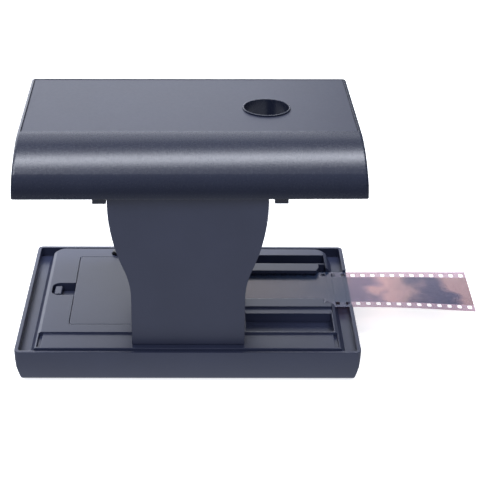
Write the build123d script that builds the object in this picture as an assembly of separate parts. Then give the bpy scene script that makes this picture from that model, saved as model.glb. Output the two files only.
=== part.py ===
"""Foldable viewer for 35 mm film strips and slides, to be used under a phone's camera.

A low base holds the film track, a lit window and two cells. Two hinged legs stand on the base and carry a
platform with a camera port above the window. +X is the end that the film goes in at, -Y is the front and
+Z is up. The origin is the middle of the base's underside. Lengths are in millimetres.
"""

import os
from math import atan, cos, pi, sin

from build123d import *

# ---------------------------------------------------------------- driving dimensions
# film and cell standards
FILM_WIDTH = 35.0
FILM_LENGTH = 152.0  # four frames
FILM_THICKNESS = 0.15
PERFORATION_PITCH = 4.75
PERFORATION = (1.98, 2.79)  # along and across the strip
PERFORATION_EDGE = 2.01  # film edge to perforation
FRAME_SIZE = (36.0, 24.0)
CELL_RADIUS = 7.1
CELL_LENGTH = 49.5

# base
BASE_WIDTH = 151.0
BASE_DEPTH = 104.0
RIM_Z = 15.5
RIM_WALL = 1.6
RIM_CORNER = 2.6
SIDE_INSET = 2.6  # how far the walls draw in from the rim down to the table
SIDE_SWELL = 0.9  # and how far they have drawn in a little under halfway up
BOTTOM_EDGE = 2.2
CASE_BOTTOM = 0.4
SKIN = 1.6
COVER_PLATE = 1.6
MOAT_FLOOR = 11.0
DECK_Z = 17.0
DECK_SKIN = 2.2
DECK_HALF = 66.9  # at its bevelled edge
DECK_FOOT_HALF = 69.2  # and where its sloping ends meet the moat's floor
DECK_REAR = 47.4
DECK_FOOT_REAR = 48.2
DECK_FRONT = -36.8
DECK_BEVEL = 1.1
DECK_CORNER = 5.5
LEDGE_Z = 16.3
LEDGE_FRONT = -49.6
LEDGE_EDGE = 0.2
LEDGE_GROOVE = (64.2, 66.0)  # a groove along each end of the ledge, in x
LEDGE_GROOVE_Z = 15.0

# film track, which sits in a well of the deck
TRACK_X = (-19.6, 65.4)
TRACK_Y = (-17.8, 32.0)
WELL_FLOOR = 11.8
WELL_GAP = 0.2
FILM_BED_Z = 14.3
FILM_Z = 14.4
FILM_CENTRE_Y = 9.0
WINDOW_X = 34.0
LIP_OVERHANG = 3.6
LIP_THICKNESS = 1.7
LIP_END = 62.2
STEP_Y = -12.7  # front edge of the front lip; a lower step runs in front of it
STEP_Z = 16.1
FINGER_TROUGH = (25.5, 65.4, -36.0)  # x from, x to, front edge
REAR_SLOT = (26.0, 65.4, 39.7)  # x from, x to, rear edge
REAR_SLOT_FLOOR = 8.4

# lamp board under the window
BOARD_Z = 3.2
BOARD_THICKNESS = 1.2
BOARD_X = (6.0, 62.0)
BOARD_Y = (FILM_CENTRE_Y - 19.0, FILM_CENTRE_Y + 19.0)

# battery compartment
COVER_X = (-53.3, -20.7)
COVER_Y = (-29.6, 37.1)
COVER_THICKNESS = 1.8
COVER_GAP = 0.3
CELL_X = (-44.6, -29.2)
CELL_Z = 8.05
CELL_SEAT = 0.9  # height of the bottom cover under the cells, where it is thinner
CELL_MID_Y = 4.5
TUB_X = (CELL_X[0] - CELL_RADIUS - 0.6, CELL_X[1] + CELL_RADIUS + 0.6)
TUB_Y = (-23.8, 32.8)
TUB_WALL = 1.9
SPRING_WIRE = 0.3  # radius
SPRING_TURNS = 2.5
HINGE_STUB = 0.5  # radius of the cover's two hinge stubs
LATCH_Y = 3.8
LATCH_WELL_HALF = 6.0
LATCH_WELL_FLOOR = 10.2
LATCH_ARM_Z = 13.2
LATCH_UPRIGHT = (-52.2, -51.5)  # in x; it stays clear of the cell when the latch is pressed

# legs
LEG_FRONT_FACE = -46.5
LEG_REAR_FACE = 41.8
LEG_TOP = 92.0
LEG_THICKNESS = 3.0
LEG_SKIN = 2.0
NECK = (24.5, 39.0)  # half width and height where the narrow part ends
SHOULDER = (33.8, 84.0)
HINGE_STANDOFF = 2.2  # leg's inner face to hinge axis
KNUCKLE_RADIUS = 2.0
PIN_RADIUS = 1.0
RUNNING_CLEARANCE = 0.05
HINGE_Z = {"front": 17.0, "rear": 20.2}
FOOT_Z = {"front": 16.5, "rear": 17.3}
BASE_KNUCKLES = ((-20.0, -14.2), (14.2, 20.0))
LEG_KNUCKLES = ((-14.0, -6.0), (6.0, 14.0))

# platform, drawn square and then set down where it stands on the legs
PLATFORM_DEPTH = 100.6
PLATFORM_TOP_HALF = 73.2
PLATFORM_SKIRT_HALF = 73.7
PLATFORM_Z = 106.6
SKIRT_Z = 88.7
SHELL = 1.8
CREASE_Y = -20.3  # where the flat top ends and the front curve starts
SPRING_Z = 89.3  # where the front curve leaves the upright skirt
NOSE_RADIUS = 11.0
REAR_RADIUS = 4.6
PLATE_BORDER = 1.4
PLATE_DROP = 0.5
PLATE_THICKNESS = 1.2
PLATE_BED = 3.4  # top to the underside of the bed that carries the plate
RIB_X = (-54.0, -18.0, 8.0, 58.0)
PORT_RADIUS = 10.0
PORT_COLLAR = 10.6
PORT_XY = (34.0, 8.9)  # in the platform's own square frame
PORT_BOTTOM = 98.4
SEAT_GAP = 0.3
STOP_GAP = 0.85  # between a leg's outer face and the rib that stops it
STOP_RIB = 1.6
EAR_X = (35.0, 40.7)
EAR_Z = 85.0
PLATFORM_PLACE = Location((0.4, -2.4, 0), (0, 0, 0.9))

# power button, its switch and the leads
LEAD_RADIUS = 0.6
BUTTON_XY = (-35.7, 41.3)
BUTTON_RADIUS = 2.6
BUTTON_TOP = 18.6
SWITCH_BOARD_Z = 4.6

ABOVE = 30.0  # a height clear of everything on the base, for cuts from above
HALF_TURN = 1 - cos(pi / 4)  # where the middle of a quarter circle lies, as a share of its radius

# derived places
FILM_X = TRACK_X[0] + 0.7
FILM_Y = (FILM_CENTRE_Y - FILM_WIDTH / 2, FILM_CENTRE_Y + FILM_WIDTH / 2)
CHANNEL_Y = (FILM_Y[0] - 0.3, FILM_Y[1] + 0.3)
COVER_MID_Z = DECK_Z - COVER_THICKNESS / 2
COVER_HINGE_X = COVER_X[1] - COVER_THICKNESS / 2
HINGE_Y = {
    "front": LEG_FRONT_FACE + LEG_THICKNESS + HINGE_STANDOFF,
    "rear": LEG_REAR_FACE - LEG_THICKNESS - HINGE_STANDOFF,
}
BOTTOM_SCREWS = [(x, y) for x in (-60.5, 60.5) for y in (-36.0, 41.0)] + [(0.0, -36.0), (0.0, 41.0)]


# ---------------------------------------------------------------- small helpers
def block(x, y, z, radius=0.0):
    """A box between two values on each axis, with its upright edges rounded by radius."""
    size = (x[1] - x[0], y[1] - y[0], z[1] - z[0])
    centre = ((x[0] + x[1]) / 2, (y[0] + y[1]) / 2, z[0])
    shape = Pos(*centre) * Box(*size, align=(Align.CENTER, Align.CENTER, Align.MIN))
    if radius:
        shape = fillet(shape.edges().filter_by(Axis.Z), radius)
    return shape


def rod(x, y, z, radius):
    """An upright cylinder at x, y between two heights."""
    return Pos(x, y, z[0]) * Cylinder(radius, z[1] - z[0], align=(Align.CENTER, Align.CENTER, Align.MIN))


def bar_along_x(x, y, z, radius):
    """A cylinder lying along X between two values of x."""
    return Pos(x[0], y, z) * Rotation(0, 90, 0) * rod(0, 0, (0, x[1] - x[0]), radius)


def bar_along_y(x, y, z, radius):
    """A cylinder lying along Y between two values of y."""
    return Pos(x, y[0], z) * Rotation(-90, 0, 0) * rod(0, 0, (0, y[1] - y[0]), radius)


def widened(span, by):
    """A span made longer by the same amount at both ends."""
    return (span[0] - by, span[1] + by)


def window_area(margin):
    """The x and y spans of the film window, widened by margin all round."""
    half_x, half_y = FRAME_SIZE[0] / 2 + margin, FRAME_SIZE[1] / 2 + margin
    return (WINDOW_X - half_x, WINDOW_X + half_x), (FILM_CENTRE_Y - half_y, FILM_CENTRE_Y + half_y)


def prism_along_x(points, x):
    """The solid of a side outline, given as y, z points, between two values of x."""
    face = make_face(Polyline(*[(x[0], y, z) for y, z in points], close=True))
    return extrude(face, amount=x[1] - x[0], dir=(1, 0, 0))


def one(shape):
    """The single solid of a shape."""
    solids = shape.solids()
    assert len(solids) == 1, f"{len(solids)} solids where one is meant"
    return solids[0]


def group(shapes):
    """Separate like pieces as one compound."""
    return Compound([solid for shape in shapes for solid in shape.solids()])


# ---------------------------------------------------------------- base
def bowl_solid(half):
    """A long solid along Y whose front outline is bowed: half wide at the rim, drawn in at the table."""
    foot = half - SIDE_INSET
    swell = (half - SIDE_SWELL, CASE_BOTTOM + 0.45 * (RIM_Z - CASE_BOTTOM))
    outline = [
        ThreePointArc((foot, 0, CASE_BOTTOM), (swell[0], 0, swell[1]), (half, 0, RIM_Z)),
        Line((half, 0, RIM_Z), (-half, 0, RIM_Z)),
        ThreePointArc((-half, 0, RIM_Z), (-swell[0], 0, swell[1]), (-foot, 0, CASE_BOTTOM)),
        Line((-foot, 0, CASE_BOTTOM), (foot, 0, CASE_BOTTOM)),
    ]
    return extrude(make_face(outline), amount=BASE_WIDTH, dir=(0, 1, 0), both=True)


def base_outer():
    """The base's outer form: its front and side outlines crossed, with rounded corners."""
    half_x, half_y = BASE_WIDTH / 2, BASE_DEPTH / 2
    corner_post = block((-half_x, half_x), (-half_y, half_y), (CASE_BOTTOM, RIM_Z), RIM_CORNER)
    shape = bowl_solid(half_x) & Rotation(0, 0, 90) * bowl_solid(half_y) & corner_post
    bottom = shape.edges().group_by(Axis.Z)[0]
    return fillet(bottom, BOTTOM_EDGE)


def plateau(inset, bottom, top):
    """The block under the deck and the ledge, with sloping ends, drawn in by inset."""
    lean = (DECK_FOOT_HALF - DECK_HALF) / (DECK_Z - DECK_BEVEL - MOAT_FLOOR)
    low_half = DECK_FOOT_HALF - inset + lean * (MOAT_FLOOR - bottom)
    high_half = low_half - lean * (top - bottom)
    rear_lean = (DECK_FOOT_REAR - DECK_REAR) / (DECK_Z - MOAT_FLOOR)
    low_rear = DECK_FOOT_REAR - inset + rear_lean * (MOAT_FLOOR - bottom)
    high_rear = low_rear - rear_lean * (top - bottom)
    front = LEDGE_FRONT + inset
    side = prism_along_x(
        [(front, bottom), (front, top), (high_rear, top), (low_rear, bottom)], (-BASE_WIDTH, BASE_WIDTH)
    )
    corners = [(-low_half, bottom), (low_half, bottom), (high_half, top), (-high_half, top)]
    ends = make_face(Polyline(*[(x, -BASE_WIDTH, z) for x, z in corners], close=True))
    return side & extrude(ends, amount=2 * BASE_WIDTH, dir=(0, 1, 0))


def deck_block():
    """The raised deck with bevelled edges and round rear corners, and the lower ledge in front of it."""
    deck = plateau(0.0, MOAT_FLOOR - SKIN, DECK_Z)
    rear_edges = [e for e in deck.edges() if e.center().Y > DECK_REAR and abs(e.center().X) > DECK_HALF - 1]
    deck = fillet(rear_edges, DECK_CORNER)
    top_edges = deck.faces().sort_by(Axis.Z)[-1].edges()
    deck = chamfer([e for e in top_edges if e.center().Y > LEDGE_FRONT + 1], DECK_BEVEL)
    over_ledge = [
        (LEDGE_FRONT - 1, LEDGE_Z - LEDGE_EDGE),
        (LEDGE_FRONT, LEDGE_Z - LEDGE_EDGE),
        (LEDGE_FRONT + LEDGE_EDGE, LEDGE_Z),
        (DECK_FRONT, LEDGE_Z),
        (DECK_FRONT, ABOVE),
        (LEDGE_FRONT - 1, ABOVE),
    ]
    deck -= prism_along_x(over_ledge, (-BASE_WIDTH, BASE_WIDTH))
    for side in (1, -1):
        x = sorted(side * edge for edge in LEDGE_GROOVE)
        deck -= block(x, (LEDGE_FRONT + 0.8, DECK_FRONT), (LEDGE_GROOVE_Z, ABOVE))
    return deck


def case_inside():
    """The walls and floors under the deck: battery tub, track well, trough, slot and latch well."""
    under = DECK_Z - DECK_SKIN
    floor = (WELL_FLOOR - SKIN, under + 0.1)
    ledge = (under - 1.4, under + 0.1)
    tub_x = (TUB_X[0] - TUB_WALL, TUB_X[1] + TUB_WALL)
    tub_y = (TUB_Y[0] - TUB_WALL, TUB_Y[1] + TUB_WALL)
    shape = block(tub_x, tub_y, (COVER_PLATE + 0.1, under + 0.1))
    shape += block((COVER_X[0] - 1.4, tub_x[1]), (COVER_Y[0] - 1.4, COVER_Y[1] + 1.2), ledge)
    wall_x = DECK_FOOT_HALF
    shape += block((TRACK_X[0] - WELL_GAP - SKIN, wall_x), (TRACK_Y[0] - SKIN, TRACK_Y[1] + SKIN), floor)
    shape += block((FINGER_TROUGH[0] - SKIN, wall_x), (FINGER_TROUGH[2] - SKIN / 2, TRACK_Y[0]), floor)
    slot_y = (TRACK_Y[1] - SKIN, REAR_SLOT[2] + SKIN)
    shape += block((REAR_SLOT[0] - SKIN, wall_x), slot_y, (REAR_SLOT_FLOOR - SKIN, under + 0.1))
    latch_y = (LATCH_Y - LATCH_WELL_HALF - SKIN, LATCH_Y + LATCH_WELL_HALF + SKIN)
    shape += block((-wall_x, tub_x[0] + 0.1), latch_y, (LATCH_WELL_FLOOR - SKIN, under + 0.1))
    hinge_bed = (HINGE_Y["front"] - 6.5, HINGE_Y["front"] + 4.2)
    shape += block((-22.0, 22.0), hinge_bed, (11.6, under + 0.1))
    for x, y in BOTTOM_SCREWS:
        shape += rod(x, y, (COVER_PLATE, under + 0.1), 3.0)
    return shape


def case_openings():
    """The moat, and what else is cut from above: wells, trough, slot, latch and button holes."""
    rim_x = BASE_WIDTH / 2 - RIM_WALL
    rim_y = BASE_DEPTH / 2 - RIM_WALL
    under = DECK_Z - DECK_SKIN
    moat = block((-rim_x, rim_x), (-rim_y, rim_y), (MOAT_FLOOR, ABOVE), 1.2)
    cuts = block(widened(TRACK_X, WELL_GAP), widened(TRACK_Y, WELL_GAP), (WELL_FLOOR, ABOVE))
    cuts += block((DECK_HALF - 3, BASE_WIDTH), CHANNEL_Y, (FILM_BED_Z - 0.2, ABOVE))
    trough_x = (FINGER_TROUGH[0], FINGER_TROUGH[1] - 0.6)
    cuts += block(trough_x, (FINGER_TROUGH[2], TRACK_Y[0]), (WELL_FLOOR, ABOVE), 0.8)
    cuts += block((REAR_SLOT[0], REAR_SLOT[1]), (TRACK_Y[1], REAR_SLOT[2]), (REAR_SLOT_FLOOR, ABOVE))
    cover_z = (DECK_Z - COVER_THICKNESS - 0.1, ABOVE)
    cuts += block(widened(COVER_X, COVER_GAP), widened(COVER_Y, COVER_GAP), cover_z, 1.2)
    cuts += block(TUB_X, TUB_Y, (-1, ABOVE))
    latch_y = (LATCH_Y - LATCH_WELL_HALF, LATCH_Y + LATCH_WELL_HALF)
    latch = block((-64.1, COVER_X[0]), latch_y, (LATCH_WELL_FLOOR, ABOVE))
    cuts += fillet(latch.edges().filter_by(Axis.Z).group_by(Axis.X)[0], 3.6)
    cuts += block((-65.3, -62.0), (LATCH_Y - 4.2, LATCH_Y + 4.2), (LATCH_WELL_FLOOR, under))
    arm_z = (LATCH_ARM_Z - 0.6, ABOVE)
    cuts += block((TUB_X[0] - 3.0, TUB_X[0] + 1), (LATCH_Y - 4.6, LATCH_Y + 4.6), arm_z)
    cuts += rod(*BUTTON_XY, (0, ABOVE), BUTTON_RADIUS + 0.25)
    cuts += rod(*BUTTON_XY, (under - 3.1, under), BUTTON_RADIUS + 1.2)
    cuts += block(*window_area(2.5), (0, ABOVE))
    return moat, cuts


def base_knuckles(side):
    """The two lugs that carry a leg's hinge pin, with their feet."""
    y, z = HINGE_Y[side], HINGE_Z[side]
    bottom = LEDGE_Z - 2.4 if side == "front" else DECK_Z - 0.5
    foot_y = (y - KNUCKLE_RADIUS, y + KNUCKLE_RADIUS)
    lugs = [bar_along_x(x, y, z, KNUCKLE_RADIUS) + block(x, foot_y, (bottom, z)) for x in BASE_KNUCKLES]
    return lugs[0] + lugs[1]


def base_case():
    """The visible upper moulding of the base: rim, moat, deck, ledge, wells, bosses and hinge lugs."""
    moat, cuts = case_openings()
    under = DECK_Z - DECK_SKIN
    shape = base_outer() - moat
    shape += deck_block()
    hollow = block((-70.4, 70.4), (-47.3, 47.3), (-1, MOAT_FLOOR - SKIN), 3.0)
    hollow += plateau(SKIN, MOAT_FLOOR - SKIN - 0.1, LEDGE_Z - SKIN)
    upper = plateau(SKIN, LEDGE_Z - SKIN - 0.1, under)
    hollow += upper & block((-80, 80), (DECK_FRONT + SKIN, 80), (0, ABOVE))
    inner_walls = case_inside() & plateau(SKIN / 2, 0, under + 0.1)
    shape = shape - hollow + inner_walls
    shape -= cuts
    knuckle_well = (HINGE_Y["front"] - 2.5, HINGE_Y["front"] + 2.6)
    shape -= block((-20.6, 20.6), knuckle_well, (HINGE_Z["front"] - 2.6, ABOVE))
    for side in ("front", "rear"):
        shape += base_knuckles(side)
        shape -= bar_along_x((-21.0, 21.0), HINGE_Y[side], HINGE_Z[side], PIN_RADIUS)
    for x, y in BOTTOM_SCREWS:
        shape -= rod(x, y, (0, 12.0), 1.1)
    stub_reach = COVER_GAP + 1.4
    stub_bore = HINGE_STUB + RUNNING_CLEARANCE
    shape -= bar_along_y(COVER_HINGE_X, widened(COVER_Y, stub_reach), COVER_MID_Z, stub_bore)
    for x, y in track_screw_places():
        shape -= rod(x, y, (WELL_FLOOR - SKIN - 0.1, WELL_FLOOR + 0.1), 1.3)
    return one(shape)


def bottom_cover():
    """The flat plate that closes the base from below, with seats for its screws and feet."""
    shape = block((-70.2, 70.2), (-47.1, 47.1), (0, COVER_PLATE), 2.8)
    for x, y in BOTTOM_SCREWS:
        shape -= rod(x, y, (-1, 3), 1.35) + rod(x, y, (-1, 1.0), 2.6)
    for x, y in foot_places():
        shape -= rod(x, y, (-1, 0.9), 5.0)
    shape -= block(TUB_X, TUB_Y, (CELL_SEAT, COVER_PLATE + 1), 1.0)
    return one(shape)


def foot_places():
    """The x, y places of the four rubber feet."""
    return [(x, y) for x in (-62.0, 62.0) for y in (-25.0, 25.0)]


def rubber_feet():
    """Four round pads, flush in their seats."""
    return group(rod(x, y, (0, 0.9), 5.0) for x, y in foot_places())


def screw(x, y, head_z, length, radius=1.0, head_radius=2.2, up=True):
    """A pan-head screw with a cross recess; up says that its thread points up from its head."""
    head = rod(0, 0, (0, 0.9), head_radius)
    head = chamfer(head.edges().group_by(Axis.Z)[0], 0.3)
    head -= block((-1.2, 1.2), (-0.25, 0.25), (-0.1, 0.5)) + block((-0.25, 0.25), (-1.2, 1.2), (-0.1, 0.5))
    shape = head + rod(0, 0, (0.9, 0.9 + length), radius)
    if not up:
        shape = Rotation(180, 0, 0) * shape
    return Pos(x, y, head_z) * shape


def bottom_screws():
    """Six screws that hold the bottom cover to the base case."""
    return group(screw(x, y, 0.1, 8.0) for x, y in BOTTOM_SCREWS)


# ---------------------------------------------------------------- film track and light
def track_screw_places():
    """The x, y places of the four screws that hold the track down from below."""
    return [(x, y) for x in (-16.0, 59.0) for y in (TRACK_Y[0] + 3.6, TRACK_Y[1] - 3.6)]


def track_screws():
    """Four screws through the well's floor into the track."""
    z = WELL_FLOOR - SKIN - 0.9
    return group(screw(x, y, z, SKIN + 3.0, 1.0, 1.8) for x, y in track_screw_places())


def film_track():
    """The track moulding: a bed with two overhanging lips for the film, and a stepped front edge."""
    shape = block(TRACK_X, TRACK_Y, (WELL_FLOOR, DECK_Z))
    end = DECK_HALF + 5
    bed_x = (FILM_X - 0.3, end)
    shape -= block(bed_x, CHANNEL_Y, (FILM_BED_Z, DECK_Z - LIP_THICKNESS))
    open_y = widened(CHANNEL_Y, -LIP_OVERHANG)
    shape -= block(bed_x, open_y, (FILM_BED_Z, DECK_Z + 1))
    shape -= block((LIP_END, end), CHANNEL_Y, (FILM_BED_Z, DECK_Z + 1))
    shape -= block((LIP_END, end), (open_y[1], CHANNEL_Y[1] + 3.2), (WELL_FLOOR - 1, DECK_Z + 1))
    shape -= block((TRACK_X[0] - 1, end), (TRACK_Y[0] - 1, STEP_Y), (STEP_Z, DECK_Z + 1))
    lip_corner = [(LIP_END, open_y[1]), (LIP_END - 1.6, open_y[1]), (LIP_END, open_y[1] + 3.2)]
    corner_face = make_face(Polyline(*[(x, y, FILM_BED_Z) for x, y in lip_corner], close=True))
    shape -= extrude(corner_face, amount=4, dir=(0, 0, 1))
    shape -= block(*window_area(0.0), (WELL_FLOOR - 1, DECK_Z), 0.6)
    shape -= window_pane(0.1, -1.0)
    for x, y in track_screw_places():
        shape -= rod(x, y, (WELL_FLOOR - 0.1, WELL_FLOOR + 3.2), 1.0)
    rear_edges = shape.edges().filter_by(Axis.X).group_by(Axis.Y)[-1]
    return one(fillet(rear_edges.group_by(Axis.Z)[-1], 1.6))


def window_pane(gap=0.0, lower=0.0):
    """The diffusing pane that lies in a seat under the track's bed."""
    return block(*window_area(2.5 + gap), (WELL_FLOOR + lower, WELL_FLOOR + 1.6))


def film_window():
    """The pane, raised in its middle so that its top lies level with the track's bed."""
    return one(window_pane() + block(*window_area(-0.1), (WELL_FLOOR + 1, FILM_BED_Z - 0.05), 0.6))


def light_box():
    """The white reflector frame between the lamp board and the pane."""
    z = (BOARD_Z + BOARD_THICKNESS, WELL_FLOOR - SKIN)
    return one(block(*window_area(5.0), z, 2.0) - block(*window_area(3.0), widened(z, 1), 1.0))


def board_screw_places():
    """The x, y places of the lamp board's two screws, at opposite corners."""
    return [(BOARD_X[0] + 2.6, BOARD_Y[0] + 2.6), (BOARD_X[1] - 2.0, BOARD_Y[1] - 2.0)]


def led_board():
    """The circuit board that carries the lamps."""
    shape = block(BOARD_X, BOARD_Y, (BOARD_Z, BOARD_Z + BOARD_THICKNESS), 1.0)
    for x, y in board_screw_places():
        shape -= rod(x, y, (0, 10), 1.1)
    return one(shape)


def board_pillars():
    """Spacers that hold the lamp board off the bottom cover."""
    places = board_screw_places()
    places += [(BOARD_X[0] + 2.6, BOARD_Y[1] - 2.6), (BOARD_X[1] - 2.0, BOARD_Y[0] + 2.6)]
    pillars = []
    for x, y in places:
        pillars.append(rod(x, y, (COVER_PLATE, BOARD_Z), 1.9) - rod(x, y, (0, 10), 0.9))
    return group(pillars)


def board_screws():
    """Two screws through the lamp board into its pillars."""
    z = BOARD_Z + BOARD_THICKNESS + 0.9
    return group(screw(x, y, z, 1.4, 0.9, 1.7, up=False) for x, y in board_screw_places())


def lamps():
    """Six white surface-mounted lamps in two rows."""
    bottom = BOARD_Z + BOARD_THICKNESS
    pieces = []
    for dx in (-12.5, 0.0, 12.5):
        for dy in (-6.5, 6.5):
            x, y = WINDOW_X + dx, FILM_CENTRE_Y + dy
            lamp = block((x - 2.5, x + 2.5), (y - 2.5, y + 2.5), (bottom, bottom + 1.6))
            pieces.append(lamp - rod(x, y, (bottom + 1.2, bottom + 2), 1.9))
    return group(pieces)


def board_chips():
    """The driver chip and three resistors beside the reflector."""
    top = BOARD_Z + BOARD_THICKNESS
    chips = [block((7.2, 9.4), (4.0, 8.6), (top, top + 1.2))]
    for n in range(3):
        y = 12.0 + 3.0 * n
        chips.append(block((7.2, 9.4), (y, y + 1.3), (top, top + 0.6)))
    return group(chips)


# ---------------------------------------------------------------- battery compartment
def battery_cells():
    """The sleeves of two cells side by side."""
    span = (CELL_MID_Y - CELL_LENGTH / 2, CELL_MID_Y + CELL_LENGTH / 2)
    bodies = [bar_along_y(x, span, CELL_Z, CELL_RADIUS) for x in CELL_X]
    return group(fillet(body.edges().filter_by(GeomType.CIRCLE), 0.6) for body in bodies)


def cell_caps():
    """The cells' raised positive caps, which face opposite ways."""
    caps = []
    for x, way in zip(CELL_X, (1, -1)):
        end = CELL_MID_Y + way * CELL_LENGTH / 2
        span = (end, end + 1.0) if way > 0 else (end - 1.0, end)
        caps.append(bar_along_y(x, span, CELL_Z, 2.75))
    return group(caps)


def contact_plates():
    """A nickelled plate at each end of each cell, standing against the tub's end walls."""
    plates = []
    for x in CELL_X:
        for span in ((TUB_Y[0], TUB_Y[0] + 0.5), (TUB_Y[1] - 0.5, TUB_Y[1])):
            plates.append(block((x - 6.0, x + 6.0), span, (CELL_Z - 5.5, CELL_Z + 5.5)))
    link_x = (CELL_X[0] + 6.0, CELL_X[1] - 6.0)
    link = block(link_x, (TUB_Y[1] - 0.5, TUB_Y[1]), (CELL_Z - 2.5, CELL_Z + 2.5))
    return group([plates[0], plates[2], plates[1] + link + plates[3]])


def contact_springs():
    """A coil spring behind each cell's negative end."""
    springs = []
    for x, way in zip(CELL_X, (1, -1)):
        cell_end = CELL_MID_Y - way * CELL_LENGTH / 2
        plate = TUB_Y[0] + 0.5 if way > 0 else TUB_Y[1] - 0.5
        height = abs(cell_end - plate) - 2 * SPRING_WIRE - 0.1
        coil = Helix(pitch=height / SPRING_TURNS, height=height, radius=4.6)
        wire = Plane(origin=coil @ 0, z_dir=coil % 0) * Circle(SPRING_WIRE)
        spring = Rotation(-90 * way, 0, 0) * sweep(wire, path=coil, is_frenet=True)
        springs.append(Pos(x, plate + way * (SPRING_WIRE + 0.05), CELL_Z) * spring)
    return group(springs)


def battery_cover():
    """The lid over the cells: a plate with a rounded hinge edge and a stub at each end of it."""
    z = (DECK_Z - COVER_THICKNESS, DECK_Z)
    shape = block((COVER_X[0], COVER_HINGE_X), COVER_Y, z)
    shape = fillet(shape.edges().filter_by(Axis.Z).group_by(Axis.X)[0], 1.0)
    shape += bar_along_y(COVER_HINGE_X, COVER_Y, COVER_MID_Z, COVER_THICKNESS / 2)
    shape += bar_along_y(COVER_HINGE_X, widened(COVER_Y, COVER_GAP + 1.2), COVER_MID_Z, HINGE_STUB)
    for y in (CELL_MID_Y - 16, CELL_MID_Y + 16):
        middle = (CELL_X[0] + CELL_X[1]) / 2
        shape += block((middle - 2, middle + 2), (y - 0.6, y + 0.6), (z[0] - 2.4, z[0]))
    return one(shape)


def cover_latch():
    """The springy finger under the cover's free edge, with the barb that holds it shut."""
    z = DECK_Z - COVER_THICKNESS
    y = (LATCH_Y - 3.7, LATCH_Y + 3.7)
    low = LATCH_ARM_Z
    shape = block(LATCH_UPRIGHT, y, (low, z))
    shape += block((-60.4, LATCH_UPRIGHT[1]), y, (low, low + 0.8))
    finger = block((-63.0, -59.4), y, (low, low + 3.3))
    upper = finger.edges().filter_by(Axis.Y).group_by(Axis.Z)[-1]
    shape += fillet(upper, 0.7)
    barb = [(-63.0, low), (-64.9, low + 1.4), (-63.0, low + 1.4)]
    face = make_face(Polyline(*[(x, y[0] + 0.6, h) for x, h in barb], close=True))
    shape += extrude(face, amount=y[1] - y[0] - 1.2, dir=(0, 1, 0))
    return one(shape)


# ---------------------------------------------------------------- switch
def power_button():
    """The push button: a round cap, a flange that keeps it in, and a stem down to the switch."""
    x, y = BUTTON_XY
    under = DECK_Z - DECK_SKIN
    shape = rod(x, y, (under - 1.0, BUTTON_TOP), BUTTON_RADIUS)
    shape = fillet(shape.edges().group_by(Axis.Z)[-1], 0.8)
    shape += rod(x, y, (under - 2.0, under - 1.0), BUTTON_RADIUS + 0.9)
    shape += rod(x, y, (under - 4.5, under - 2.0), 1.4)
    return one(shape)


def switch_body():
    """The push switch under the button; its plunger's own travel is left as free space above it."""
    x, y = BUTTON_XY
    bottom = SWITCH_BOARD_Z + BOARD_THICKNESS
    shape = block((x - 3, x + 3), (y - 3, y + 3), (bottom, bottom + 3.2), 0.4)
    return one(shape + rod(x, y, (bottom + 3.2, bottom + 3.6), 1.7))


def switch_board():
    """The small board under the switch."""
    x, y = BUTTON_XY
    z = (SWITCH_BOARD_Z, SWITCH_BOARD_Z + BOARD_THICKNESS)
    return block((x - 6.5, x + 6.5), (y - 3.6, y + 4.6), z, 0.6)


def switch_pillars():
    """Two pillars that carry the switch board above the bottom cover."""
    x, y = BUTTON_XY
    return group(rod(x + dx, y + 2.8, (COVER_PLATE, SWITCH_BOARD_Z), 1.6) for dx in (-4.6, 4.6))


# ---------------------------------------------------------------- legs
def leg_side_curve():
    """Arc radii and turn of the leg's S-shaped side, from neck to shoulder."""
    spread = SHOULDER[0] - NECK[0]
    rise = SHOULDER[1] - NECK[1]
    turn = 2 * atan(spread / rise)
    both = rise / sin(turn)
    lower = 0.31 * both
    return lower, both - lower, turn


def leg_face(foot_z, inset=0.0):
    """The leg's outline seen from the front, in the XZ plane, drawn in by inset all round."""
    lower, upper, turn = leg_side_curve()
    lower, upper = lower + inset, upper - inset
    half = turn / 2
    neck, shoulder = NECK[0] - inset, SHOULDER[0] - inset
    foot, top = (neck, 0, foot_z + inset), (shoulder, 0, LEG_TOP - inset)
    neck_end, shoulder_start = (neck, 0, NECK[1]), (shoulder, 0, SHOULDER[1])
    bend = (neck + lower * (1 - cos(turn)), 0, NECK[1] + lower * sin(turn))
    lower_mid = (neck + lower * (1 - cos(half)), 0, NECK[1] + lower * sin(half))
    upper_mid = (shoulder - upper * (1 - cos(half)), 0, SHOULDER[1] - upper * sin(half))
    right = [
        Line((0, 0, foot[2]), foot),
        Line(foot, neck_end),
        ThreePointArc(neck_end, lower_mid, bend),
        ThreePointArc(bend, upper_mid, shoulder_start),
        Line(shoulder_start, top),
        Line(top, (0, 0, top[2])),
    ]
    return make_face(right + [mirror(edge, about=Plane.YZ) for edge in right])


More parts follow.
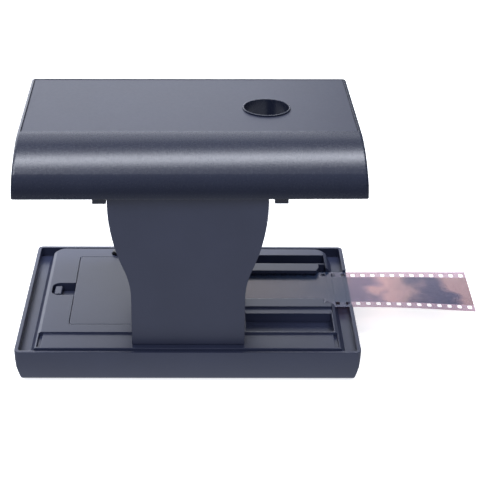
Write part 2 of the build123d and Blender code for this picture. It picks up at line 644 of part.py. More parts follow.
def leg(side):
    """A leg: skin, edge flange, ribs and hinge knuckles. The rear leg mirrors the front one."""
    foot_z, hinge_z = FOOT_Z[side], HINGE_Z[side]
    skin = extrude(leg_face(foot_z), amount=LEG_SKIN, dir=(0, 1, 0))
    flange = extrude(leg_face(foot_z), amount=LEG_THICKNESS, dir=(0, 1, 0))
    flange -= extrude(leg_face(foot_z, 1.8), amount=LEG_THICKNESS + 1, dir=(0, 1, 0))
    shape = skin + flange
    for x in (-12.0, 0.0, 12.0):
        shape += block((x - 0.7, x + 0.7), (LEG_SKIN - 0.1, LEG_THICKNESS), (foot_z + 0.5, LEG_TOP - 0.5))
    for z in (44.0, 68.0):
        reach = 23.8 if z < NECK[1] + 10 else 30.4
        shape += block((-reach, reach), (LEG_SKIN - 0.1, LEG_THICKNESS), (z - 0.7, z + 0.7))
    axis_y = LEG_THICKNESS + HINGE_STANDOFF
    for x in LEG_KNUCKLES:
        shape += bar_along_x(x, axis_y, hinge_z, KNUCKLE_RADIUS)
        shape += block(x, (LEG_SKIN - 0.1, axis_y), (hinge_z - 0.6, hinge_z + 1.9))
    shape -= bar_along_x((-15.0, 15.0), axis_y, hinge_z, PIN_RADIUS + RUNNING_CLEARANCE)
    if side == "front":
        return one(Pos(0, LEG_FRONT_FACE, 0) * shape)
    return one(Pos(0, LEG_REAR_FACE, 0) * mirror(shape, about=Plane.XZ))


def hinge_pin(side):
    """The steel pin on which a leg turns."""
    pin = bar_along_x((-20.0, 20.0), HINGE_Y[side], HINGE_Z[side], PIN_RADIUS)
    return chamfer(pin.edges().filter_by(GeomType.CIRCLE), 0.2)


# ---------------------------------------------------------------- platform
def on_arc(centre, radius, angle):
    """A point of an arc in the YZ plane, at an angle counted from straight up towards the front."""
    return (0, centre[0] - radius * sin(angle), centre[1] + radius * cos(angle))


def platform_side(inset, z_bottom):
    """The platform's side outline drawn in by inset: a front curve of two arcs, a flat top, a round rear."""
    front = -PLATFORM_DEPTH / 2 + inset
    rear = PLATFORM_DEPTH / 2 - inset
    top = PLATFORM_Z - inset
    nose, spread, turn = front_arcs()
    nose, spread = nose - inset, spread - inset
    radius = REAR_RADIUS - inset / 2
    hood = (CREASE_Y, top - spread)
    tip = (front + nose, SPRING_Z)
    joint = on_arc(hood, spread, turn)
    skirt_top, crease = (0, front, SPRING_Z), (0, CREASE_Y, top)
    round_start, round_end = (0, rear - radius, top), (0, rear, top - radius)
    round_mid = (0, rear - HALF_TURN * radius, top - HALF_TURN * radius)
    edges = [
        Line((0, front, z_bottom), skirt_top),
        ThreePointArc(skirt_top, on_arc(tip, nose, turn / 2 + pi / 4), joint),
        ThreePointArc(joint, on_arc(hood, spread, turn / 2), crease),
        Line(crease, round_start),
        ThreePointArc(round_start, round_mid, round_end),
        Line(round_end, (0, rear, z_bottom)),
        Line((0, rear, z_bottom), (0, front, z_bottom)),
    ]
    return make_face(edges)


def front_arcs():
    """Radii of the front curve's lower and upper arcs, and the angle that the upper one turns through."""
    reach = CREASE_Y + PLATFORM_DEPTH / 2 - NOSE_RADIUS
    rise = PLATFORM_Z - SPRING_Z - NOSE_RADIUS
    turn = 2 * atan(rise / reach)
    return NOSE_RADIUS, NOSE_RADIUS + reach / sin(turn), turn


def platform_form(inset, z_bottom):
    """The platform as a full solid, drawn in by inset, with end walls that flare downwards."""
    half = PLATFORM_DEPTH
    solid = extrude(platform_side(inset, z_bottom), amount=half, dir=(1, 0, 0), both=True)
    flare = (PLATFORM_SKIRT_HALF - PLATFORM_TOP_HALF) / (PLATFORM_Z - SKIRT_Z)
    top_half = PLATFORM_TOP_HALF - inset - flare * 4
    bottom_half = PLATFORM_SKIRT_HALF - inset + flare * 4
    low, high = SKIRT_Z - 4, PLATFORM_Z + 4
    corners = [(-bottom_half, low), (bottom_half, low), (top_half, high), (-top_half, high)]
    ends = make_face(Polyline(*[(x, -half, z) for x, z in corners], close=True))
    return solid & extrude(ends, amount=2 * half, dir=(0, 1, 0))


def plate_area(gap=0.0):
    """Limits of the recess for the phone plate, in x and y, drawn in by gap."""
    x = PLATFORM_TOP_HALF - PLATE_BORDER - gap
    return (-x, x), (CREASE_Y + 0.2 + gap, PLATFORM_DEPTH / 2 - REAR_RADIUS + 1.6 - gap)


def local_leg_faces():
    """Outer faces of the two legs in the platform's own square frame."""
    shift = PLATFORM_PLACE.position.Y
    return LEG_FRONT_FACE - shift, LEG_REAR_FACE - shift


def leg_holders():
    """Inside the hood, at each leg: a seat over its top and a stop rib outside it."""
    front, rear = local_leg_faces()
    seat_z = LEG_TOP + SEAT_GAP
    x = (-SHOULDER[0] - 0.6, SHOULDER[0] + 0.6)
    pieces = []
    for face, way in ((front, 1), (rear, -1)):
        inner = face + way * (LEG_THICKNESS + 0.6)
        stop = face - way * STOP_GAP
        back = stop - way * STOP_RIB
        pieces.append(block(x, sorted((inner, back)), (seat_z, PLATFORM_Z - 2)))
        pieces.append(block(x, sorted((stop, back)), (SKIRT_Z + 0.4, seat_z + 0.1)))
    return pieces


def leg_ears():
    """The tabs that reach out of the hood beside each leg's shoulders."""
    front, rear = local_leg_faces()
    pieces = []
    for face, way in ((front, 1), (rear, -1)):
        y = sorted((face - way * (STOP_GAP + STOP_RIB), face + way * 1.2))
        for side in (1, -1):
            pieces.append((sorted((side * EAR_X[0], side * EAR_X[1])), y))
    return pieces


def platform_shell():
    """The curved hood: thin walls, a bed for the plate, seats over both legs, ears beside them."""
    outer = platform_form(0.0, SKIRT_Z)
    end_x = PLATFORM_TOP_HALF - 1
    ends = [e for e in outer.edges() if abs(e.center().X) > end_x and e.center().Z > SKIRT_Z + 1]
    shape = fillet(ends, 1.3) - platform_form(SHELL, SKIRT_Z - 1)
    area_x, area_y = plate_area()
    bed_y = (area_y[0] - 0.4, area_y[1] + 1)
    shape += block(widened(area_x, 1), bed_y, (PLATFORM_Z - PLATE_BED, PLATFORM_Z - 1))
    shape -= block(area_x, area_y, (PLATFORM_Z - PLATE_DROP - PLATE_THICKNESS, PLATFORM_Z + 1), 0.8)
    inside = platform_form(SHELL - 0.1, SKIRT_Z)
    front, rear = local_leg_faces()
    for piece in leg_holders():
        shape += piece & inside
    for x, y in leg_ears():
        shape += block(x, y, (EAR_Z, PLATFORM_Z - 2)) & inside
        shape += block(x, y, (EAR_Z, SKIRT_Z + 0.1))
    for x in RIB_X:
        rib = block((x - 0.6, x + 0.6), (front + 4, rear - 4), (PLATFORM_Z - 7.5, PLATFORM_Z - 3))
        shape += rib & inside
    shape -= rod(*PORT_XY, (PORT_BOTTOM - 5, PLATFORM_Z + 5), PORT_COLLAR)
    for x, y in plate_screw_places():
        shape -= rod(x, y, (PLATFORM_Z - 5, PLATFORM_Z), 1.2)
    return one(shape)


def plate_screw_places():
    """The x, y places of the plate's four screws."""
    return [(x, y) for x in (-64.0, 64.0) for y in (-12.0, 36.0)]


def platform_plate():
    """The flat inlaid plate that a phone lies on."""
    area_x, area_y = plate_area(0.15)
    z = (PLATFORM_Z - PLATE_DROP - PLATE_THICKNESS, PLATFORM_Z - PLATE_DROP)
    shape = block(area_x, area_y, z, 0.7)
    return one(shape - rod(*PORT_XY, (z[0] - 1, z[1] + 1), PORT_COLLAR))


def plate_screws():
    """Four screws that hold the plate from inside the hood."""
    z = PLATFORM_Z - PLATE_BED - 0.9
    return group(screw(x, y, z, 1.5, 1.0, 2.2) for x, y in plate_screw_places())


def camera_collar():
    """The tube that lines the camera port, with a rounded rim that stands a little proud of the plate."""
    top = PLATFORM_Z + 0.25
    shape = rod(*PORT_XY, (PORT_BOTTOM, top), PORT_COLLAR)
    shape += rod(*PORT_XY, (PORT_BOTTOM + 1.2, PLATFORM_Z - PLATE_BED), PORT_COLLAR + 0.9)
    shape -= rod(*PORT_XY, (PORT_BOTTOM - 1, top + 1), PORT_RADIUS)
    rim = shape.edges().filter_by(GeomType.CIRCLE).group_by(Axis.Z)[-1]
    return one(fillet(rim, 0.2))


# ---------------------------------------------------------------- film
def film_strip():
    """A strip of four frames with both rows of perforations."""
    z = (FILM_Z, FILM_Z + FILM_THICKNESS)
    shape = block((FILM_X, FILM_X + FILM_LENGTH), FILM_Y, z)
    count = int(FILM_LENGTH // PERFORATION_PITCH)
    row = PERFORATION_EDGE + PERFORATION[1] / 2
    start = FILM_X + PERFORATION_PITCH / 2
    half_x, half_y = PERFORATION[0] / 2, PERFORATION[1] / 2
    holes = []
    for y in (FILM_Y[0] + row, FILM_Y[1] - row):
        for n in range(count):
            x = start + PERFORATION_PITCH * n
            holes.append(block((x - half_x, x + half_x), (y - half_y, y + half_y), widened(z, 1), 0.5))
    return one(shape - holes)


# ---------------------------------------------------------------- leads
def leads():
    """Two insulated leads: cell contact to switch, and cell contact to lamp board."""
    routes = [
        [(-46.0, 34.7, 2.3), (-46.0, 38.4, 2.3), (-43.4, 40.6, 3.5), (-38.5, 40.6, 3.95)],
        [(-19.6, 29.0, 3.0), (-10.0, 29.0, 3.0), (-2.0, 20.0, 3.8), (6.0, 20.0, 3.8)],
    ]
    tubes = []
    for route in routes:
        path = FilletPolyline(*route, radius=1.8)
        section = Plane(origin=path @ 0, z_dir=path % 0) * Circle(LEAD_RADIUS)
        tubes.append(sweep(section, path=path))
    return group(tubes)


# ---------------------------------------------------------------- writing the parts
def model():
    """Every named piece of the viewer, in place."""
    pieces = {
        "base_case": base_case(),
        "bottom_cover": bottom_cover(),
        "rubber_feet": rubber_feet(),
        "bottom_screws": bottom_screws(),
        "film_track": film_track(),
        "track_screws": track_screws(),
        "film_window": film_window(),
        "light_box": light_box(),
        "led_board": led_board(),
        "leds": lamps(),
        "board_chips": board_chips(),
        "board_pillars": board_pillars(),
        "board_screws": board_screws(),
        "battery_cells": battery_cells(),
        "cell_caps": cell_caps(),
        "contact_plates": contact_plates(),
        "contact_springs": contact_springs(),
        "battery_cover": battery_cover(),
        "cover_latch": cover_latch(),
        "power_button": power_button(),
        "switch_body": switch_body(),
        "switch_board": switch_board(),
        "switch_pillars": switch_pillars(),
        "leads": leads(),
        "film_strip": film_strip(),
    }
    for side in ("front", "rear"):
        pieces[f"{side}_leg"] = leg(side)
        pieces[f"{side}_hinge_pin"] = hinge_pin(side)
    platform = {
        "platform_shell": platform_shell(),
        "platform_plate": platform_plate(),
        "plate_screws": plate_screws(),
        "camera_collar": camera_collar(),
    }
    for name, shape in platform.items():
        pieces[name] = PLATFORM_PLACE * shape
    return pieces


os.makedirs("parts", exist_ok=True)
for name, shape in model().items():
    export_step(shape, f"parts/{name}.step")
    print(f"{name:18s} {shape.volume:10.1f} mm3")
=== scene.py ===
"""Looks for the foldable film and slide viewer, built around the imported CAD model. Lengths are in metres."""

from math import pi, radians, sin, cos

import bmesh
import bpy
from mathutils import Matrix, Vector


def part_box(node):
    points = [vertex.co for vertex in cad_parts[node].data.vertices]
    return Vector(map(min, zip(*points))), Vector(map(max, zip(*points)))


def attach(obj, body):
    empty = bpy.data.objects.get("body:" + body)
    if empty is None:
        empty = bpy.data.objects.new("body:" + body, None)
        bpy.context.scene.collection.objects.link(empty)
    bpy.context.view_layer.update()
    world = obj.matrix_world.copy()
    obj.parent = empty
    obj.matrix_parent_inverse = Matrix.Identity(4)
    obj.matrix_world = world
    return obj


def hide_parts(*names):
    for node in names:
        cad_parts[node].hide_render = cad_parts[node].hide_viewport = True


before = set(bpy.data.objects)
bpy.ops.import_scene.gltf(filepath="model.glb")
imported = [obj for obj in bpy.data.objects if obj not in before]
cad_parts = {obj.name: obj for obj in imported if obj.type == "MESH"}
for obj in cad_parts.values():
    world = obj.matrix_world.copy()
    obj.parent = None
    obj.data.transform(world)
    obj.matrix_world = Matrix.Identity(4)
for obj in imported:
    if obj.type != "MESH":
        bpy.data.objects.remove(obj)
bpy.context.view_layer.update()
MM = 0.001

# ---------------------------------------------------------------- camera
CAMERA_PLACE = (0.00705, -0.58455, 0.32930)
CAMERA_PITCH = 25.96  # degrees below the horizon
CAMERA_YAW = -1.58
CAMERA_ROLL = 0.89
CAMERA_LENS = 106.5

# ---------------------------------------------------------------- colours, linear
CASE_COLOUR = (0.036, 0.043, 0.083)
HOOD_COLOUR = (0.015, 0.019, 0.038)
PLATE_COLOUR = (0.026, 0.030, 0.052)
LEG_COLOUR = (0.042, 0.048, 0.084)
RUBBER_COLOUR = (0.012, 0.012, 0.012)
BUTTON_COLOUR = (0.006, 0.006, 0.009)
DIFFUSER_COLOUR = (0.075, 0.080, 0.10)
REFLECTOR_COLOUR = (0.80, 0.80, 0.78)
LAMP_COLOUR = (0.75, 0.66, 0.30)
EPOXY_COLOUR = (0.012, 0.012, 0.013)
LEAD_COLOUR = (0.35, 0.02, 0.02)
STEEL_COLOUR = (0.62, 0.62, 0.62)
NICKEL_COLOUR = (0.70, 0.67, 0.60)
SLEEVE_COLOURS = (0.012, 0.014, 0.018), (0.42, 0.19, 0.07)  # middle of a cell, bands at its ends
BOARD_COLOURS = (0.010, 0.095, 0.030), (0.012, 0.110, 0.036), (0.045, 0.230, 0.085)  # mask, mask, tracks

# ---------------------------------------------------------------- studio
COOL_LIGHT = (0.88, 0.91, 1.0)
SKY_TINT = (0.88, 0.92, 1.0)
# height from straight down (0) to straight up (1), and the sky's level there
SKY_LEVELS = ((0.0, 1.2), (0.25, 0.8), (0.42, 0.36), (0.50, 0.22), (0.80, 0.20), (0.93, 0.32), (1.0, 0.42))
FLOOR_HALF = 20.0
FLOOR_DROP = 0.05 * MM  # keeps the floor clear of the rubber feet
FLOOR_COLOUR = (0.9, 0.9, 0.9)
FLOOR_GLOW = 0.66

# ---------------------------------------------------------------- film
FILM_WIDTH = 35.0 * MM
FILM_THICKNESS = 0.15 * MM
PITCH = 4.75 * MM
HOLE_SIZE = (1.98 * MM, 2.79 * MM)
HOLE_CORNER = 0.5 * MM
HOLE_ROW = 2.01 * MM + HOLE_SIZE[1] / 2  # film edge to the middle of a perforation
PICTURE_HALF = 12.3 * MM  # half height of the pictures between the perforated bands
GRID_ROWS = 8  # faces across the pictures
GRID_COLUMNS = 4  # faces along one pitch
BEND_START = 72 * MM  # where the strip leaves the base and starts to curl
BEND_LENGTH = 60 * MM
BEND_TWIST = 1.25 * MM  # rise of the far edge and drop of the near one at the end of the bend
BEND_DROP = 0.75 * MM
BEND_WAVE = 0.25 * MM
PINK, ROSY, BLUISH, DARK = (0.47, 0.36, 0.33), (0.55, 0.41, 0.38), (0.34, 0.27, 0.30), (0.24, 0.20, 0.22)
PICTURE_TINTS = ((0.0, PINK), (0.20, BLUISH), (0.32, BLUISH), (0.40, ROSY),
                 (0.58, PINK), (0.70, DARK), (0.79, DARK), (0.88, PINK))
PICTURE_SPAN = (60 * MM, 134 * MM)  # stretch of X that the tints run along
BAND_TINT = (0.56, 0.46, 0.47)
# painted sheen: the film's faint diffuse colour, the matte emulsion tinted blue to stand in for reflected sky
FILM_PAINTED_SHEEN = (0.022, 0.040, 0.080)


def make_camera():
    data = bpy.data.cameras.new("camera")
    data.lens = CAMERA_LENS
    data.sensor_width = 36.0
    data.clip_start = 0.01
    camera = bpy.data.objects.new("camera", data)
    bpy.context.scene.collection.objects.link(camera)
    turn = Matrix.Rotation(radians(CAMERA_YAW), 4, "Z")
    tilt = Matrix.Rotation(radians(90 - CAMERA_PITCH), 4, "X")
    roll = Matrix.Rotation(radians(CAMERA_ROLL), 4, "Z")
    camera.matrix_world = Matrix.Translation(CAMERA_PLACE) @ turn @ tilt @ roll
    bpy.context.scene.camera = camera


# ---------------------------------------------------------------- studio
def softbox(name, place, aim, size, power, mirrored=True):
    """A rectangular studio light at place, turned towards aim; mirrored says that glossy pieces show it."""
    data = bpy.data.lights.new(name, "AREA")
    data.shape = "RECTANGLE"
    data.size, data.size_y = size
    data.energy = power
    data.color = COOL_LIGHT
    light = bpy.data.objects.new(name, data)
    bpy.context.scene.collection.objects.link(light)
    light.location = place
    light.rotation_euler = (Vector(place) - Vector(aim)).to_track_quat("Z", "Y").to_euler()
    light.visible_glossy = mirrored


def make_world():
    """A sky that grows brighter towards straight up and straight down."""
    world = bpy.data.worlds.new("studio")
    bpy.context.scene.world = world
    world.use_nodes = True
    tree = world.node_tree
    place = tree.nodes.new("ShaderNodeTexCoord")
    split = tree.nodes.new("ShaderNodeSeparateXYZ")
    tree.links.new(place.outputs["Generated"], split.inputs[0])
    height = spread(tree, split.outputs["Z"], 0.0, 1.0, -1.0, 1.0)
    stops = [(position, scaled(SKY_TINT, level)) for position, level in SKY_LEVELS]
    tree.links.new(colour_ramp(tree, height, stops), tree.nodes["Background"].inputs["Color"])


def make_floor():
    """A white sweep that reads as pure white, with only a faint shadow under the base."""
    mesh = bpy.data.meshes.new("floor")
    form = bmesh.new()
    bmesh.ops.create_grid(form, x_segments=8, y_segments=8, size=FLOOR_HALF)
    form.to_mesh(mesh)
    form.free()
    floor = bpy.data.objects.new("floor", mesh)
    floor.location.z = -FLOOR_DROP
    bpy.context.scene.collection.objects.link(floor)
    floor.visible_glossy = False
    floor.visible_diffuse = False
    material, shader = principled("white_sweep")
    shader.inputs["Base Color"].default_value = (*FLOOR_COLOUR, 1)
    shader.inputs["Roughness"].default_value = 0.9
    shader.inputs["Emission Color"].default_value = (1, 1, 1, 1)
    shader.inputs["Emission Strength"].default_value = FLOOR_GLOW
    mesh.materials.append(material)


def make_studio():
    make_world()
    make_floor()
    softbox("overhead_strip", place=(-0.05, 0.17, 0.95), aim=(0, -0.02, 0.1), size=(1.3, 0.18), power=11.0)
    softbox("backdrop", place=(-0.68, 1.30, 0.42), aim=(0, 0, 0.05), size=(2.0, 0.85), power=11.0)
    softbox("backdrop_top", place=(-0.5, 1.15, 1.08), aim=(0, 0, 0.05), size=(2.1, 0.46), power=3.4)
    softbox("front_fill", place=(-0.2, -0.9, 0.85), aim=(0, 0, 0.02), size=(1.4, 0.6), power=8.0,
            mirrored=False)
    bpy.context.scene.view_settings.view_transform = "Standard"


# ---------------------------------------------------------------- material helpers
def principled(name):
    """A new material and its Principled shader."""
    material = bpy.data.materials.new(name)
    material.use_nodes = True
    return material, material.node_tree.nodes["Principled BSDF"]


def add(tree, kind, **inputs):
    """A new shader node with some of its inputs set by name."""
    node = tree.nodes.new("ShaderNode" + kind)
    for key, value in inputs.items():
        node.inputs[key].default_value = value
    return node


def feed(tree, socket, value):
    """Gives a socket a number, a colour or another node's output."""
    if isinstance(value, bpy.types.NodeSocket):
        tree.links.new(value, socket)
    elif isinstance(value, tuple):
        socket.default_value = (*value, 1)
    else:
        socket.default_value = value


def noise(tree, scale, detail=2.0, stretch=(1, 1, 1)):
    """Noise in the piece's own coordinates; scale is in features per metre."""
    place = tree.nodes.new("ShaderNodeTexCoord")
    mapping = tree.nodes.new("ShaderNodeMapping")
    mapping.inputs["Scale"].default_value = stretch
    texture = add(tree, "TexNoise", Scale=scale, Detail=detail)
    tree.links.new(place.outputs["Object"], mapping.inputs["Vector"])
    tree.links.new(mapping.outputs[0], texture.inputs["Vector"])
    return texture.outputs["Fac"]


def spread(tree, value, low, high, start=0.3, end=0.7):
    """A value from start to end, mapped to low to high."""
    node = tree.nodes.new("ShaderNodeMapRange")
    node.inputs["From Min"].default_value = start
    node.inputs["From Max"].default_value = end
    node.inputs["To Min"].default_value = low
    node.inputs["To Max"].default_value = high
    tree.links.new(value, node.inputs["Value"])
    return node.outputs[0]


def blend_colours(tree, value, first, second):
    """first where value is 0, second where it is 1; each is a colour or another node's output."""
    node = tree.nodes.new("ShaderNodeMix")
    node.data_type = "RGBA"
    tree.links.new(value, node.inputs[0])
    feed(tree, node.inputs[6], first)
    feed(tree, node.inputs[7], second)
    return node.outputs[2]


def colour_ramp(tree, value, stops):
    """The colour at value, between stops that are each a position and a colour."""
    node = tree.nodes.new("ShaderNodeValToRGB")
    tree.links.new(value, node.inputs[0])
    elements = node.color_ramp.elements
    while len(elements) < len(stops):
        elements.new(0.5)
    for element, (position, colour) in zip(elements, stops):
        element.position = position
        element.color = (*colour, 1)
    return node.outputs[0]


def place_along(tree, axis):
    """The piece's own coordinate along X, Y or Z."""
    place = tree.nodes.new("ShaderNodeTexCoord")
    split = tree.nodes.new("ShaderNodeSeparateXYZ")
    tree.links.new(place.outputs["Object"], split.inputs[0])
    return split.outputs[axis]


def arithmetic(tree, operation, first, second=0.0):
    """One step of arithmetic on two values, each a number or another node's output."""
    node = tree.nodes.new("ShaderNodeMath")
    node.operation = operation
    feed(tree, node.inputs[0], first)
    feed(tree, node.inputs[1], second)
    return node.outputs[0]


def outside_band(tree, axis, middle, half, blur):
    """0 within half of the middle of a band along an axis, 1 outside it."""
    offset = arithmetic(tree, "SUBTRACT", place_along(tree, axis), middle)
    return spread(tree, arithmetic(tree, "ABSOLUTE", offset), 0.0, 1.0, half - blur, half + blur)


def rounded_normal(tree, radius):
    """Normals as if every edge were rounded by radius."""
    node = tree.nodes.new("ShaderNodeBevel")
    node.samples = 6
    node.inputs["Radius"].default_value = radius
    return node.outputs[0]


def bumped(tree, shader, height, strength, distance, normal=None):
    node = add(tree, "Bump", Strength=strength, Distance=distance)
    tree.links.new(height, node.inputs["Height"])
    if normal is not None:
        tree.links.new(normal, node.inputs["Normal"])
    tree.links.new(node.outputs[0], shader.inputs["Normal"])


def scaled(colour, by):
    return tuple(channel * by for channel in colour)


# ---------------------------------------------------------------- materials
def moulded_plastic(name, colour, roughness, grain, edge=0.35 * MM):
    """Moulded plastic with a fine etched grain, slight mottling and rounded edges."""
    material, shader = principled(name)
    tree = material.node_tree
    cloud = spread(tree, noise(tree, 60, 3), 0.0, 1.0)
    tint = blend_colours(tree, cloud, scaled(colour, 0.95), scaled(colour, 1.05))
    tree.links.new(tint, shader.inputs["Base Color"])
    polish = spread(tree, noise(tree, 700, 2), roughness - 0.015, roughness + 0.015)
    tree.links.new(polish, shader.inputs["Roughness"])
    bumped(tree, shader, noise(tree, 2600, 2), grain, 0.05 * MM, rounded_normal(tree, edge))
    return material


def metal(name, colour, roughness, brush=(1, 1, 1)):
    """Plated metal with fine marks drawn out along the axis whose brush value is small."""
    material, shader = principled(name)
    tree = material.node_tree
    shader.inputs["Base Color"].default_value = (*colour, 1)
    shader.inputs["Metallic"].default_value = 1.0
    marks = noise(tree, 1800, 3, brush)
    tree.links.new(spread(tree, marks, roughness - 0.07, roughness + 0.1), shader.inputs["Roughness"])
    bumped(tree, shader, marks, 0.15, 0.02 * MM)
    return material


def plain(name, colour, roughness, grain=0.1, size=1500):
    """An even moulded, coated or rubber surface with a light grain."""
    material, shader = principled(name)
    tree = material.node_tree
    cloud = spread(tree, noise(tree, 220, 3), 0.0, 1.0)
    tint = blend_colours(tree, cloud, scaled(colour, 0.9), scaled(colour, 1.1))
    tree.links.new(tint, shader.inputs["Base Color"])
    shader.inputs["Roughness"].default_value = roughness
    bumped(tree, shader, noise(tree, size, 2), grain, 0.04 * MM)
    return material


def cell_sleeve():
    """A plain printed sleeve, dark with a copper-coloured band at each end."""
    material, shader = principled("cell_sleeve")
    tree = material.node_tree
    low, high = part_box("battery_cells")
    band = outside_band(tree, "Y", (low.y + high.y) / 2, 16 * MM, 0.1 * MM)
    tree.links.new(blend_colours(tree, band, *SLEEVE_COLOURS), shader.inputs["Base Color"])
    shader.inputs["Roughness"].default_value = 0.28
    bumped(tree, shader, noise(tree, 900, 2), 0.04, 0.02 * MM)
    return material


def circuit_board():
    """Green solder mask over a net of copper tracks."""
    material, shader = principled("circuit_board")
    tree = material.node_tree
    place = tree.nodes.new("ShaderNodeTexCoord")
    tracks = add(tree, "TexBrick", Scale=260.0)
    tracks.inputs["Mortar Size"].default_value = 0.03
    for name, colour in zip(("Color1", "Color2", "Mortar"), BOARD_COLOURS):
        feed(tree, tracks.inputs[name], colour)
    tree.links.new(place.outputs["Object"], tracks.inputs["Vector"])
    tree.links.new(tracks.outputs["Color"], shader.inputs["Base Color"])
    shader.inputs["Roughness"].default_value = 0.32
    bumped(tree, shader, tracks.outputs["Fac"], 0.3, 0.03 * MM)
    return material


def dress(material, *nodes):
    """Gives CAD nodes their material."""
    for node in nodes:
        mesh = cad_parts[node].data
        mesh.materials.clear()
        mesh.materials.append(material)


def make_materials():
    case = moulded_plastic("case_plastic", CASE_COLOUR, roughness=0.29, grain=0.07)
    dress(case, "base_case", "film_track", "bottom_cover", "battery_cover", "cover_latch")
    hood = moulded_plastic("hood_plastic", HOOD_COLOUR, roughness=0.27, grain=0.025)
    dress(hood, "platform_shell", "camera_collar")
    dress(moulded_plastic("plate_plastic", PLATE_COLOUR, roughness=0.42, grain=0.08), "platform_plate")
    dress(moulded_plastic("leg_plastic", LEG_COLOUR, roughness=0.42, grain=0.10), "front_leg", "rear_leg")
    dress(plain("button_gloss", BUTTON_COLOUR, 0.12, 0.02), "power_button")
    dress(plain("smoked_diffuser", DIFFUSER_COLOUR, 0.35, 0.05), "film_window")
    dress(plain("foot_rubber", RUBBER_COLOUR, 0.75, 0.3), "rubber_feet")
    steel = metal("bright_steel", STEEL_COLOUR, 0.30)
    dress(steel, "bottom_screws", "track_screws", "board_screws", "plate_screws")
    dress(metal("pin_steel", STEEL_COLOUR, 0.25, (0.05, 1, 1)), "front_hinge_pin", "rear_hinge_pin")
    dress(metal("nickel", NICKEL_COLOUR, 0.25), "contact_plates", "contact_springs", "cell_caps")
    dress(cell_sleeve(), "battery_cells")
    white = plain("reflector_white", REFLECTOR_COLOUR, 0.4, 0.05)
    dress(white, "light_box", "board_pillars", "switch_pillars")
    dress(circuit_board(), "led_board", "switch_board")
    dress(plain("lamp_phosphor", LAMP_COLOUR, 0.5, 0.1), "leds")
    dress(plain("chip_epoxy", EPOXY_COLOUR, 0.5, 0.2), "board_chips", "switch_body")
    dress(plain("lead_insulation", LEAD_COLOUR, 0.4, 0.05), "leads")


# ---------------------------------------------------------------- film strip
def hole_outline(centre):
    """Sixteen points round a perforation, anticlockwise from its right side's middle."""
    half_x, half_y = HOLE_SIZE[0] / 2, HOLE_SIZE[1] / 2
    points = []
    for corner in range(4):
        sx, sy = ((1, 1), (-1, 1), (-1, -1), (1, -1))[corner]
        side = ((half_x, 0), (0, half_y), (-half_x, 0), (0, -half_y))[corner]
        points.append(side)
        for step in range(3):
            angle = corner * pi / 2 + step * pi / 4
            points.append((
                sx * (half_x - HOLE_CORNER) + HOLE_CORNER * cos(angle),
                sy * (half_y - HOLE_CORNER) + HOLE_CORNER * sin(angle),
            ))
    return [(centre[0] + x, centre[1] + y) for x, y in points]


def cell_outline(centre, half_x, half_y):
    """Sixteen points round a cell, in step with hole_outline."""
    signs = [(1, 0), (1, 0.5), (1, 1), (0.5, 1), (0, 1), (-0.5, 1), (-1, 1), (-1, 0.5)]
    signs += [(-x, -y) for x, y in signs]
    return [(centre[0] + sx * half_x, centre[1] + sy * half_y) for sx, sy in signs]


def curl(x, y, middle):
    """Height of the strip above its bed: it twists and waves a little once it is past the base."""
    reach = max(0.0, x - BEND_START) / BEND_LENGTH
    across = (y - middle) / (FILM_WIDTH / 2)
    return reach * reach * (BEND_TWIST * across - BEND_DROP) + BEND_WAVE * sin(reach * 5.0) * reach


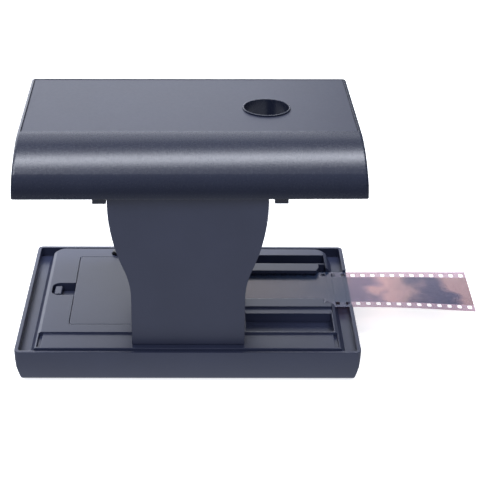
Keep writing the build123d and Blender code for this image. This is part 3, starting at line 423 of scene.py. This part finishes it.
def film_mesh():
    """The strip as one sheet: rings round each perforation and a grid between the two rows."""
    low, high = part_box("film_strip")
    middle = (low.y + high.y) / 2
    rows = (low.y + HOLE_ROW, high.y - HOLE_ROW)
    bottom, top = low.y + 2 * HOLE_ROW, high.y - 2 * HOLE_ROW
    form = bmesh.new()

    def vertex(point):
        return form.verts.new((point[0], point[1], low.z + curl(point[0], point[1], middle)))

    for n in range(int((high.x - low.x) / PITCH)):
        x = low.x + PITCH * (n + 0.5)
        for y in rows:
            inner = [vertex(p) for p in hole_outline((x, y))]
            outer = [vertex(p) for p in cell_outline((x, y), PITCH / 2, HOLE_ROW)]
            for k in range(16):
                form.faces.new((inner[k], outer[k], outer[(k + 1) % 16], inner[(k + 1) % 16]))
        for column in range(GRID_COLUMNS):
            x0 = x + PITCH * (column / GRID_COLUMNS - 0.5)
            x1 = x0 + PITCH / GRID_COLUMNS
            for row in range(GRID_ROWS):
                y0 = bottom + (top - bottom) * row / GRID_ROWS
                y1 = bottom + (top - bottom) * (row + 1) / GRID_ROWS
                form.faces.new([vertex(p) for p in ((x0, y0), (x1, y0), (x1, y1), (x0, y1))])
    bmesh.ops.remove_doubles(form, verts=form.verts, dist=0.01 * MM)
    bmesh.ops.recalc_face_normals(form, faces=form.faces)
    mesh = bpy.data.meshes.new("film")
    form.to_mesh(mesh)
    form.free()
    return mesh


def film_pictures(tree):
    """How the pictures tint light: abstract blots, one bluish and one dark, on a pink ground."""
    wander = spread(tree, noise(tree, 60, 3), -7 * MM, 7 * MM)
    along = arithmetic(tree, "ADD", place_along(tree, "X"), wander)
    return colour_ramp(tree, spread(tree, along, 0.0, 1.0, *PICTURE_SPAN), PICTURE_TINTS)


def film_material():
    """Developed film: it tints what is seen through it and has its own gloss; its faint diffuse colour is the
    matte emulsion, tinted blue as a painted sheen of reflected sky.
    """
    material, shader = principled("developed_film")
    tree = material.node_tree
    low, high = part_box("film_strip")
    edge = outside_band(tree, "Y", (low.y + high.y) / 2, PICTURE_HALF, 0.15 * MM)
    through = tree.nodes.new("ShaderNodeBsdfTransparent")
    tree.links.new(blend_colours(tree, edge, film_pictures(tree), BAND_TINT), through.inputs["Color"])
    # the diffuse colour is a painted sheen, bluish in place of reflected sky
    shader.inputs["Base Color"].default_value = (*FILM_PAINTED_SHEEN, 1)
    shader.inputs["Roughness"].default_value = 0.20
    bumped(tree, shader, noise(tree, 400, 2), 0.05, 0.02 * MM)
    both = tree.nodes.new("ShaderNodeAddShader")
    tree.links.new(through.outputs[0], both.inputs[0])
    tree.links.new(shader.outputs[0], both.inputs[1])
    tree.links.new(both.outputs[0], tree.nodes["Material Output"].inputs["Surface"])
    return material


def make_film():
    """The strip with real perforations, in place of the plain CAD one."""
    film = bpy.data.objects.new("film", film_mesh())
    bpy.context.scene.collection.objects.link(film)
    thicken = film.modifiers.new("thickness", "SOLIDIFY")
    thicken.thickness = FILM_THICKNESS
    thicken.offset = 1.0
    film.data.materials.append(film_material())
    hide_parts("film_strip")
    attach(film, "film")


make_camera()
make_studio()
make_materials()
make_film()
